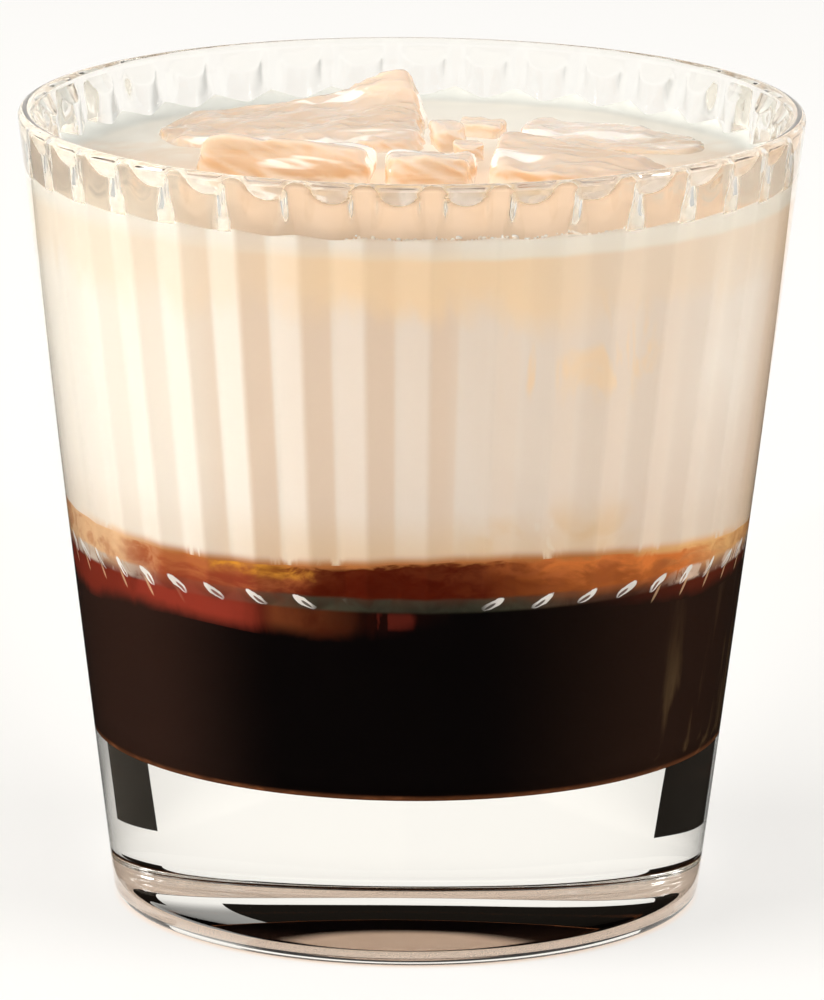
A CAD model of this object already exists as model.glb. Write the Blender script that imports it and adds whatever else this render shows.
"""The looks of a white russian in its fluted tumbler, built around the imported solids.

Every piece keeps the form of the solid that it stands for. Lengths are in metres.
"""
import logging
import math
from dataclasses import dataclass
from enum import Enum
from typing import Any, Callable

import bmesh
import bpy
import numpy as np
from mathutils import Matrix, Vector, noise


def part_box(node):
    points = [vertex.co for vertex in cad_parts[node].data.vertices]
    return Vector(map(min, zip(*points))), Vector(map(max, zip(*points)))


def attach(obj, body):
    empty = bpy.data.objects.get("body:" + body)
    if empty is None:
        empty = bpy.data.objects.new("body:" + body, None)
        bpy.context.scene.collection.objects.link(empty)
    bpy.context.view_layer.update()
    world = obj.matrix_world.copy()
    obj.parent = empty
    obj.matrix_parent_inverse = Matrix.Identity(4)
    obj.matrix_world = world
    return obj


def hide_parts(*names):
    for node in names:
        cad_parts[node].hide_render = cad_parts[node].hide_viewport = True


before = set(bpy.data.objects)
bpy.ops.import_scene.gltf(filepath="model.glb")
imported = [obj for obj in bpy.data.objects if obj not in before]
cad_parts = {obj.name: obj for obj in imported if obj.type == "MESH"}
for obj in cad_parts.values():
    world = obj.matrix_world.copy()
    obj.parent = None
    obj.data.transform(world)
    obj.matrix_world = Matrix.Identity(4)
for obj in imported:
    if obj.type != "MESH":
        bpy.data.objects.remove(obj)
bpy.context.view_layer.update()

LOG = logging.getLogger("white_russian")
MM = 0.001
TURN = 2.0 * math.pi
Tree = bpy.types.NodeTree
Socket = bpy.types.NodeSocket
Material = bpy.types.Material
Object = bpy.types.Object
Mesh = bpy.types.Mesh
Colour = tuple[float, float, float]
CARD_BLACK: Colour = (0.006, 0.005, 0.004)


class Slot(Enum):
    """The record's material slots that the pieces take their finish from."""

    GLASS = "clear_glass"
    COFFEE = "coffee"
    BLEND = "blend"
    CREAM = "cream"
    ICE = "ice"


class Seen(Enum):
    """Which light sees a dark card."""

    THROUGH_GLASS = "bent and mirrored light"
    MIRRORED = "mirrored light only"


@dataclass(frozen=True)
class TumblerShape:
    """The sizes of the tumbler and of the flutes inside its wall."""

    height: float
    rim_radius: float
    foot_radius: float = 34.55 * MM
    foot_rounding: float = 1.6 * MM
    lip_rounding: float = 0.85 * MM
    floor_height: float = 19.6 * MM
    floor_rounding: float = 4.5 * MM
    wall_at_floor: float = 4.8 * MM
    wall_at_rim: float = 3.1 * MM
    flare_height: float = 1.4 * MM
    flare_belly: float = 0.25 * MM
    flutes: int = 36
    first_rib: float = math.radians(8.1)
    flute_depth: float = 1.25 * MM
    rib_relief: float = 0.15 * MM
    rib_rounding: float = 0.15
    flute_foot: float = 42.9 * MM
    run_out: float = 2.4 * MM
    run_out_depth: float = 1.85 * MM
    arch_width: float = 0.69
    arch_run: float = 2.4 * MM
    hollow_radius: float = 21.0 * MM
    hollow_depth: float = 3.1 * MM

    @classmethod
    def from_frame(cls) -> "TumblerShape":
        """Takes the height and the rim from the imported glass.

        Returns:
            The tumbler's shape.
        """
        low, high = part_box("glass")
        return cls(height=high.z - low.z, rim_radius=(high.x - low.x) / 2.0)

    def outer_radius(self, z: float) -> float:
        """The outer wall's radius at height z."""
        share = z / (self.height - self.lip_rounding)
        return self.foot_radius + (self.rim_radius - self.foot_radius) * share

    def inner_radius(self, z: Any) -> Any:
        """The inner wall's radius at height z, a number or an array, with no flute cut into it."""
        share = (z - self.floor_height) / (self.height - self.floor_height)
        return self.outer_radius(z) - self.wall_at_floor - (self.wall_at_rim - self.wall_at_floor) * share

    def inner_slope(self) -> float:
        """How much the inner wall's radius grows with each unit of height."""
        return (self.inner_radius(self.height) - self.inner_radius(0.0)) / self.height

    def flare_foot(self) -> float:
        """Where the flare below the lip begins."""
        return self.height - 2.0 * self.lip_rounding - self.flare_height

    def groove(self, turn: np.ndarray) -> np.ndarray:
        """How deep a flute is: two flat flanks, from 0 at a rounded rib to 1 in its middle.

        Args:
            turn: Angles round the glass, in radians.

        Returns:
            The shares of the full depth.
        """
        across = np.mod((turn - self.first_rib) * self.flutes / TURN, 1.0)
        off = 1.0 - np.abs(2.0 * across - 1.0)
        least, most = self.rib_rounding, math.hypot(1.0, self.rib_rounding)
        return (np.hypot(off, least) - least) / (most - least)

    def wetted_radius(self, turn: np.ndarray, z: np.ndarray) -> np.ndarray:
        """The inner wall's radius with its flutes, where the drink touches it.

        Args:
            turn: Angles round the glass, in radians.
            z: Heights of the same shape.

        Returns:
            The radii.
        """
        plain = self.inner_radius(z)
        corner = np.clip((self.floor_height + self.floor_rounding - z) / self.floor_rounding, 0.0, 1.0)
        plain = plain - self.floor_rounding * (1.0 - np.sqrt(1.0 - corner**2))
        left = np.clip((self.flute_foot + self.run_out - z) / self.run_out, 0.0, 1.0)
        shallow = self.run_out_depth * (1.0 - np.sqrt(1.0 - left**2))
        fluted = self.inner_radius(z) + self.rib_relief + self.flute_depth * self.groove(turn) - shallow
        return np.where(z > self.flute_foot, np.maximum(plain, fluted), plain)


def fill(tree: Tree, node: bpy.types.Node, values: dict) -> None:
    """Fills or links a node's inputs.

    Args:
        tree: The node's tree.
        node: The node.
        values: Input name or index to a plain value, or to the output socket to link from.
    """
    for key, value in values.items():
        socket = node.inputs[key]
        if isinstance(value, Socket):
            tree.links.new(value, socket)
        else:
            socket.default_value = value


def add(tree: Tree, kind: str, values: dict | None = None, **settings: Any) -> bpy.types.Node:
    """Adds a node, sets its options and fills or links its inputs.

    Args:
        tree: The shader or geometry tree.
        kind: Blender's name for the node's type.
        values: Input name or index to a plain value, or to the output socket to link from.
        **settings: The node's own options.

    Returns:
        The new node.
    """
    node = tree.nodes.new(kind)
    for name, value in settings.items():
        setattr(node, name, value)
    fill(tree, node, values or {})
    return node


def calc(tree: Tree, operation: str, a: Any, b: Any = 0.0, c: Any = 0.0) -> Socket:
    """A Math node's output.

    Args:
        tree: The shader or geometry tree.
        operation: The Math node's operation.
        a: First value or socket.
        b: Second value or socket.
        c: Third value or socket.

    Returns:
        The result's socket.
    """
    return add(tree, "ShaderNodeMath", {0: a, 1: b, 2: c}, operation=operation).outputs[0]


def span(tree: Tree, value: Any, low: float, high: float, to_low: float = 0.0,
         to_high: float = 1.0) -> Socket:
    """A Map Range node's output, easing in and out and held to its ends.

    Args:
        tree: The shader tree.
        value: What is mapped.
        low: Where the range starts.
        high: Where it ends.
        to_low: The result at the start.
        to_high: The result at the end.

    Returns:
        The result's socket.
    """
    values = {"Value": value, "From Min": low, "From Max": high, "To Min": to_low, "To Max": to_high}
    return add(tree, "ShaderNodeMapRange", values, interpolation_type="SMOOTHSTEP").outputs["Result"]


def window(tree: Tree, value: Any, low: float, high: float, soft: float) -> Socket:
    """A mask that is 1 between two values, with soft edges outside them.

    Args:
        tree: The shader tree.
        value: What is masked.
        low: Where the mask is full.
        high: Where it ends being full.
        soft: How far it fades on both sides.

    Returns:
        The mask's socket.
    """
    return times(tree, span(tree, value, low - soft, low), span(tree, value, high + soft, high))


def times(tree: Tree, *values: Any) -> Socket:
    """The product of two or more values.

    Args:
        tree: The shader or geometry tree.
        *values: Values or sockets, at least one of them a socket.

    Returns:
        The product's socket.
    """
    result = values[0]
    for value in values[1:]:
        result = calc(tree, "MULTIPLY", result, value)
    return result


def scaled(tree: Tree, value: Any, factor: Any, shift: Any) -> Socket:
    """A value times a factor, plus a shift."""
    return calc(tree, "MULTIPLY_ADD", value, factor, shift)


def minus(tree: Tree, a: Any, b: Any) -> Socket:
    """The first value less the second."""
    return calc(tree, "SUBTRACT", a, b)


def held(tree: Tree, value: Any) -> Socket:
    """A value held between 0 and 1."""
    return calc(tree, "MINIMUM", calc(tree, "MAXIMUM", value, 0.0), 1.0)


def coordinates(tree: Tree) -> Socket:
    """The point's Object coordinates."""
    return add(tree, "ShaderNodeTexCoord").outputs["Object"]


def parts(tree: Tree, vector: Socket) -> Any:
    """A vector's X, Y and Z outputs."""
    return add(tree, "ShaderNodeSeparateXYZ", {0: vector}).outputs


def noise_texture(tree: Tree, vector: Socket, scale: float, detail: float, distortion: float = 0.0) -> Socket:
    """A Noise Texture's value.

    Args:
        tree: The shader tree.
        vector: Where it is read.
        scale: Its scale.
        detail: Its detail.
        distortion: How far it is distorted.

    Returns:
        The value's socket.
    """
    values = {"Vector": vector, "Scale": scale, "Detail": detail, "Distortion": distortion}
    return add(tree, "ShaderNodeTexNoise", values).outputs[0]


def blend(tree: Tree, share: Any, a: Any, b: Any) -> Socket:
    """A colour Mix node's output.

    Args:
        tree: The shader tree.
        share: How much of b.
        a: First colour or socket.
        b: Second colour or socket.

    Returns:
        The mixed colour's socket.
    """
    colours = [value if isinstance(value, Socket) else (*value, 1.0) for value in (a, b)]
    node = add(tree, "ShaderNodeMix", data_type="RGBA")
    fill(tree, node, {0: share, 6: colours[0], 7: colours[1]})
    return node.outputs[2]


def new_group(name: str, inputs: dict[str, float], outputs: list[str]) -> tuple:
    """Starts a shader node group.

    Args:
        name: The group's name.
        inputs: Its number inputs with their first values.
        outputs: Its number outputs.

    Returns:
        The tree, its Group Input node and its Group Output node.
    """
    tree = bpy.data.node_groups.new(name, "ShaderNodeTree")
    for label, value in inputs.items():
        made = tree.interface.new_socket(label, in_out="INPUT", socket_type="NodeSocketFloat")
        made.default_value = value
    for label in outputs:
        tree.interface.new_socket(label, in_out="OUTPUT", socket_type="NodeSocketFloat")
    return tree, tree.nodes.new("NodeGroupInput"), tree.nodes.new("NodeGroupOutput")


@dataclass(frozen=True)
class Effects:
    """The shader node groups that the finishes share."""

    place: Tree
    stirred: Tree
    ends: Tree

    @classmethod
    def build(cls, shape: TumblerShape) -> "Effects":
        """Builds every group once.

        Args:
            shape: The tumbler, for its flutes.

        Returns:
            The groups.
        """
        place = cls.build_place(shape)
        return cls(place=place, stirred=cls.build_stirred(), ends=cls.build_ends(shape, place))

    @staticmethod
    def build_place(shape: TumblerShape) -> Tree:
        """Where a point is in the glass: height, distance out, side and place across its flute.

        Args:
            shape: The tumbler, for its flutes.

        Returns:
            The group: lengths in millimetres, the side in degrees from the front, positive to the right
            and folded back behind, the place across a flute from 0 at one rib to 1 at the next, and the
            right-hand flank.
        """
        tree, _, out = new_group("place_in_glass", {}, ["Height", "Out", "Side", "Across", "Flank"])
        spot = parts(tree, coordinates(tree))
        turn = calc(tree, "ARCTAN2", spot["Y"], spot["X"])
        count = times(tree, minus(tree, turn, shape.first_rib), shape.flutes / TURN)
        across = calc(tree, "FLOORED_MODULO", count, 1.0)
        squares = [times(tree, spot[axis], spot[axis]) for axis in "XY"]
        flat = calc(tree, "SQRT", calc(tree, "ADD", *squares))
        side = calc(tree, "DEGREES", calc(tree, "ARCTAN2", spot["X"], times(tree, spot["Y"], -1.0)))
        folded = calc(tree, "PINGPONG", calc(tree, "ADD", side, 90.0), 180.0)
        fill(tree, out, {
            "Height": calc(tree, "DIVIDE", spot["Z"], MM),
            "Out": calc(tree, "DIVIDE", flat, MM),
            "Side": minus(tree, folded, 90.0),
            "Across": across,
            "Flank": times(tree, span(tree, across, 0.43, 0.57), span(tree, across, 1.0, 0.9)),
        })
        return tree

    @staticmethod
    def build_oval(tree: Tree, right: Any, up: Any, sign: Any, lean: Any, shift: float,
                   size: tuple[float, float]) -> tuple:
        """A leaning oval round the middle of a flute's end, mirrored between left and right.

        Args:
            tree: The group's tree.
            right: How far right of the flute's middle a point is, in millimetres.
            up: How far it is above the oval's middle.
            sign: -1 on the left of the glass and 1 on the right.
            lean: How far the oval leans, in degrees.
            shift: How far it is moved along its length.
            size: Half its length and half its width.

        Returns:
            A value that is 1 on the oval's outline and less inside it, and the place along its length.
        """
        lean = calc(tree, "RADIANS", times(tree, lean, sign))
        cos, sin = calc(tree, "COSINE", lean), calc(tree, "SINE", lean)
        along = scaled(tree, right, cos, times(tree, up, sin))
        along = scaled(tree, along, sign, shift)
        over = minus(tree, times(tree, up, cos), times(tree, right, sin))
        along_share, over_share = calc(tree, "DIVIDE", along, size[0]), calc(tree, "DIVIDE", over, size[1])
        return scaled(tree, along_share, along_share, times(tree, over_share, over_share)), along

    @staticmethod
    def build_ends(shape: TumblerShape, place: Tree) -> Tree:
        """The glints at the flutes' round ends: a tilted eye in each, a band between, a streak below.

        Args:
            shape: The tumbler, for its flutes.
            place: The place_in_glass group.

        Returns:
            The group, with masks between 0 and 1.
        """
        eye_height, eye_size, slit_size, streak_size = 43.95, (1.5, 0.50), (0.75, 0.20), (1.3, 0.24)
        flute_degrees = 360.0 / shape.flutes
        flute_width = TURN * shape.inner_radius(shape.flute_foot) / MM / shape.flutes
        tree, _, out = new_group("flute_ends", {}, ["Eye", "Pupil", "Band", "Merged", "Streak"])
        here = use(tree, place)
        side, height = here["Side"], here["Height"]
        away = calc(tree, "ABSOLUTE", side)
        sign = calc(tree, "SIGN", side)
        drift = scaled(tree, times(tree, away, away), -0.0025, 2.6)
        drift = calc(tree, "DIVIDE", times(tree, drift, sign), flute_degrees)
        moved = calc(tree, "FLOORED_MODULO", minus(tree, here["Across"], drift), 1.0)
        right = times(tree, minus(tree, moved, 0.5), flute_width)
        up = minus(tree, height, eye_height)
        sparkle = noise_texture(tree, coordinates(tree), 900.0, 2.0)
        tilt = calc(tree, "MINIMUM", scaled(tree, away, 0.45, 16.0), 38.0)
        rough = scaled(tree, sparkle, 1.3, 0.35)
        far, along = Effects.build_oval(tree, right, up, sign, tilt, 0.0, eye_size)
        far = times(tree, far, rough)
        slit, _ = Effects.build_oval(tree, right, up, sign, calc(tree, "ADD", tilt, 6.0), 0.5, slit_size)
        low, _ = Effects.build_oval(tree, right, calc(tree, "ADD", up, 1.3), sign, 52.0, 0.0, streak_size)
        fill(tree, out, {
            "Eye": times(tree, span(tree, far, 1.2, 0.85), span(tree, away, 10.5, 17.0),
                         span(tree, along, -1.7, -0.7, 0.3, 1.0)),
            "Pupil": span(tree, slit, 1.4, 0.6),
            "Band": window(tree, height, 43.3, 44.5, 0.5),
            "Merged": times(tree, window(tree, height, 43.5, 44.7, 0.5), span(tree, away, 48.0, 60.0)),
            "Streak": times(tree, span(tree, low, 1.3, 0.4), span(tree, away, 42.0, 52.0)),
        })
        return tree

    def stir(self, tree: Tree, scale: float, tall: float, swirl: float, low: float, high: float,
             seed: float) -> Socket:
        """A mask of swirls and clouds.

        Args:
            tree: The material's tree.
            scale: How many clouds there are to a metre, roughly.
            tall: How much they are squeezed in height.
            swirl: How far they are stirred.
            low: The noise value under which the mask is 0.
            high: The noise value over which it is 1.
            seed: Which pattern of its kind it is.

        Returns:
            The mask's socket.
        """
        values = {"scale": scale, "tall": tall, "swirl": swirl, "low": low, "high": high, "seed": seed}
        return use(tree, self.stirred, **values)["Mask"]

    @staticmethod
    def build_stirred() -> Tree:
        """Slow swirls and clouds, as one liquid folds into another.

        Returns:
            The group, with its mask between 0 and 1.
        """
        inputs = {"Scale": 60.0, "Tall": 1.0, "Swirl": 1.0, "Low": 0.35, "High": 0.65, "Seed": 0.0}
        tree, given, out = new_group("stirred", inputs, ["Mask"])
        stretch = add(tree, "ShaderNodeCombineXYZ", {0: 1.0, 1: 1.0, 2: given.outputs["Tall"]})
        shape = add(tree, "ShaderNodeVectorMath", {0: coordinates(tree), 1: stretch.outputs[0]},
                    operation="MULTIPLY")
        cloud = add(tree, "ShaderNodeTexNoise", {
            "Vector": shape.outputs[0], "W": given.outputs["Seed"], "Scale": given.outputs["Scale"],
            "Detail": 4.0, "Roughness": 0.55, "Distortion": given.outputs["Swirl"],
        }, noise_dimensions="4D")
        mask = add(tree, "ShaderNodeMapRange", {
            "Value": cloud.outputs[0], "From Min": given.outputs["Low"], "From Max": given.outputs["High"],
        }, interpolation_type="SMOOTHSTEP")
        fill(tree, out, {"Mask": mask.outputs["Result"]})
        return tree


def use(tree: Tree, group: Tree, **values: Any) -> Any:
    """Places a node group and sets its inputs.

    Args:
        tree: The material's tree.
        group: The group.
        **values: Its inputs by name.

    Returns:
        The group node's outputs.
    """
    node = tree.nodes.new("ShaderNodeGroup")
    node.node_tree = group
    for label, value in values.items():
        node.inputs[label.capitalize()].default_value = value
    return node.outputs


def attribute(tree: Tree, name: str) -> Socket:
    """The value of one of the piece's own number attributes."""
    return add(tree, "ShaderNodeAttribute", attribute_name=name).outputs["Fac"]


def start_material(name: str, roughness: float) -> tuple:
    """A new node material with its Principled shader.

    Args:
        name: The material's name.
        roughness: The shader's roughness.

    Returns:
        The material, its tree and the shader.
    """
    material = bpy.data.materials.new(name)
    material.use_nodes = True
    shader = material.node_tree.nodes["Principled BSDF"]
    shader.inputs["Roughness"].default_value = roughness
    return material, material.node_tree, shader


@dataclass(frozen=True)
class SeamFinish:
    """What coffee and cream make where they touch at the wall: tan at the sides, brown in the middle."""

    left: Colour = (0.860, 0.560, 0.320)
    middle: Colour = (0.520, 0.195, 0.058)
    right: Colour = (0.920, 0.540, 0.230)

    def colour(self, tree: Tree, side: Any) -> Socket:
        """The seam's colour round the glass.

        Args:
            tree: The material's tree.
            side: The place round the glass in degrees from the front.

        Returns:
            The colour's socket.
        """
        body = blend(tree, span(tree, side, -62.0, -42.0), self.left, self.middle)
        return blend(tree, span(tree, side, 30.0, 58.0), body, self.right)


@dataclass(frozen=True)
class GlassFinish:
    """Clear pressed glass with a fire-polished, very slightly wavy surface."""

    tint: Colour = (0.990, 0.980, 0.945)
    moon: Colour = (0.660, 0.810, 0.850)
    moon_size: tuple[float, float] = (0.30, 1.5)
    moon_top: float = 93.9
    ior: float = 1.5
    waviness: float = 0.03

    def material(self, effects: Effects) -> Material:
        """Builds the finish.

        Args:
            effects: The shared node groups.

        Returns:
            The material.
        """
        material, tree, shader = start_material("clear_glass", 0.0)
        coords = coordinates(tree)
        wave = noise_texture(tree, coords, 55.0, 1.0)
        bump = add(tree, "ShaderNodeBump", {"Strength": self.waviness, "Distance": MM, "Height": wave})
        shade = blend(tree, times(tree, wave, 0.2), self.tint, (1.0, 1.0, 1.0))
        place = use(tree, effects.place)
        front = parts(tree, coords)["Y"]
        wide = calc(tree, "DIVIDE", calc(tree, "PINGPONG", place["Across"], 0.5), self.moon_size[0])
        tall = calc(tree, "DIVIDE", minus(tree, self.moon_top, place["Height"]), self.moon_size[1])
        moon = scaled(tree, wide, wide, times(tree, tall, tall))
        moon = times(tree, span(tree, moon, 1.1, 0.8), span(tree, place["Out"], 45.0, 44.6),
                     span(tree, front, -16.0 * MM, -24.0 * MM))
        fill(tree, shader, {
            "Base Color": blend(tree, moon, shade, self.moon), "Normal": bump.outputs[0], "IOR": self.ior,
            "Transmission Weight": 1.0,
        })
        return material


@dataclass(frozen=True)
class CreamFinish:
    """Cream poured over coffee: ivory, a peach band at the top, warmer right flanks, stained in places."""

    ivory: Colour = (0.980, 0.940, 0.870)
    middle: Colour = (0.915, 0.830, 0.750)
    flank: Colour = (0.860, 0.700, 0.565)
    cool: Colour = (0.900, 0.790, 0.690)
    right: Colour = (1.000, 0.935, 0.860)
    tanned: Colour = (0.935, 0.755, 0.600)
    peach: Colour = (1.000, 0.760, 0.500)
    foam: Colour = (0.970, 0.920, 0.820)
    stain: Colour = (0.830, 0.590, 0.330)
    white: Colour = (0.960, 0.930, 0.880)
    top_front: Colour = (0.830, 0.585, 0.400)
    top_left: Colour = (0.930, 0.770, 0.600)
    top_middle: Colour = (0.700, 0.570, 0.445)
    top_back: Colour = (0.745, 0.705, 0.625)
    wet: Colour = (0.585, 0.585, 0.540)

    def side_colour(self, tree: Tree, effects: Effects, place: Any) -> Socket:
        """The cream as it shows through the wall.

        Args:
            tree: The material's tree.
            effects: The shared node groups.
            place: The place_in_glass outputs.

        Returns:
            The colour's socket.
        """
        height, side, flank = place["Height"], place["Side"], place["Flank"]
        body = blend(tree, span(tree, side, -40.0, -8.0), self.ivory, self.middle)
        body = blend(tree, span(tree, side, 10.0, 32.0), body, self.cool)
        right = times(tree, span(tree, side, 44.0, 60.0), span(tree, height, 54.0, 68.0, 0.45))
        body = blend(tree, right, body, self.right)
        body = blend(tree, span(tree, side, 64.0, 82.0), body, self.tanned)
        shade = times(tree, flank, span(tree, side, -46.0, -26.0), span(tree, side, 11.0, 5.0))
        faint = times(tree, flank, window(tree, side, -44.0, 34.0, 24.0), 0.22)
        body = blend(tree, calc(tree, "MAXIMUM", times(tree, shade, 0.92), faint), body, self.flank)
        clouds = effects.stir(tree, scale=45.0, tall=0.5, swirl=1.4, low=0.35, high=0.7, seed=2.0)
        veil = effects.stir(tree, scale=70.0, tall=0.25, swirl=1.0, low=0.3, high=0.7, seed=15.0)
        body = blend(tree, times(tree, veil, span(tree, side, -30.0, 20.0, 0.12, 0.3)), body, self.flank)
        lifted = calc(tree, "ADD", height, times(tree, clouds, 5.0))
        band = times(tree, span(tree, lifted, 78.5, 84.0), span(tree, height, 87.2, 85.0))
        strong = scaled(tree, window(tree, side, -8.0, 14.0, 22.0), 0.55, 0.32)
        body = blend(tree, times(tree, band, strong), body, self.peach)
        rim = times(tree, window(tree, height, 85.8, 87.2, 0.9), span(tree, side, -2.0, 16.0, 0.35, 1.0))
        body = blend(tree, times(tree, rim, 0.8), body, self.foam)
        fine = effects.stir(tree, scale=120.0, tall=0.3, swirl=2.5, low=0.52, high=0.66, seed=7.0)
        drips = times(tree, fine, window(tree, side, 12.0, 40.0, 6.0),
                      window(tree, height, 70.0, 78.0, 4.0))
        body = blend(tree, times(tree, drips, 0.7), body, self.peach)
        low = effects.stir(tree, scale=75.0, tall=0.8, swirl=2.0, low=0.42, high=0.64, seed=11.0)
        stains = times(tree, low, window(tree, side, 18.0, 34.0, 16.0), span(tree, height, 58.0, 50.5))
        body = blend(tree, times(tree, stains, 0.7), body, self.stain)
        blobs = effects.stir(tree, scale=190.0, tall=0.9, swirl=0.6, low=0.58, high=0.68, seed=13.0)
        spots = times(tree, blobs, window(tree, side, 14.0, 44.0, 8.0),
                      window(tree, height, 50.3, 53.0, 1.0))
        body = blend(tree, spots, body, self.white)
        warm = times(tree, span(tree, height, 56.0, 49.5), span(tree, side, -45.0, -10.0, 0.12, 0.5),
                     span(tree, side, 44.0, 30.0, 0.3, 1.0))
        body = blend(tree, warm, body, self.stain)
        ragged = scaled(tree, fine, 0.9, attribute(tree, "above_foot"))
        brown = calc(tree, "POWER", span(tree, ragged, 1.6, 0.0), 1.8)
        return blend(tree, times(tree, brown, window(tree, side, -56.0, 62.0, 24.0), 0.95), body,
                     SeamFinish().colour(tree, side))

    def material(self, effects: Effects) -> Material:
        """Builds the finish.

        Args:
            effects: The shared node groups.

        Returns:
            The material.
        """
        material, tree, shader = start_material("cream", 0.35)
        place = use(tree, effects.place)
        body = self.side_colour(tree, effects, place)
        normal = add(tree, "ShaderNodeNewGeometry").outputs["Normal"]
        upward = span(tree, parts(tree, normal)["Z"], 0.3, 0.7)
        froth = effects.stir(tree, scale=110.0, tall=1.0, swirl=1.5, low=0.4, high=0.65, seed=4.0)
        spot = parts(tree, coordinates(tree))
        deep = scaled(tree, froth, 6.0 * MM, spot["Y"])
        over = blend(tree, span(tree, spot["X"], -12.0 * MM, -34.0 * MM), self.top_front, self.top_left)
        over = blend(tree, span(tree, deep, -17.0 * MM, -8.0 * MM), over, self.top_middle)
        over = blend(tree, span(tree, deep, 4.0 * MM, 22.0 * MM), over, self.top_back)
        wall = times(tree, span(tree, place["Out"], 39.5, 42.0), span(tree, deep, -8.0 * MM, 10.0 * MM))
        over = blend(tree, wall, over, self.wet)
        fill(tree, shader, {
            "Base Color": blend(tree, upward, body, over), "Coat Weight": times(tree, upward, 0.3),
            "Coat Roughness": 0.25, "Specular IOR Level": 0.0,
        })
        return material


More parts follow.
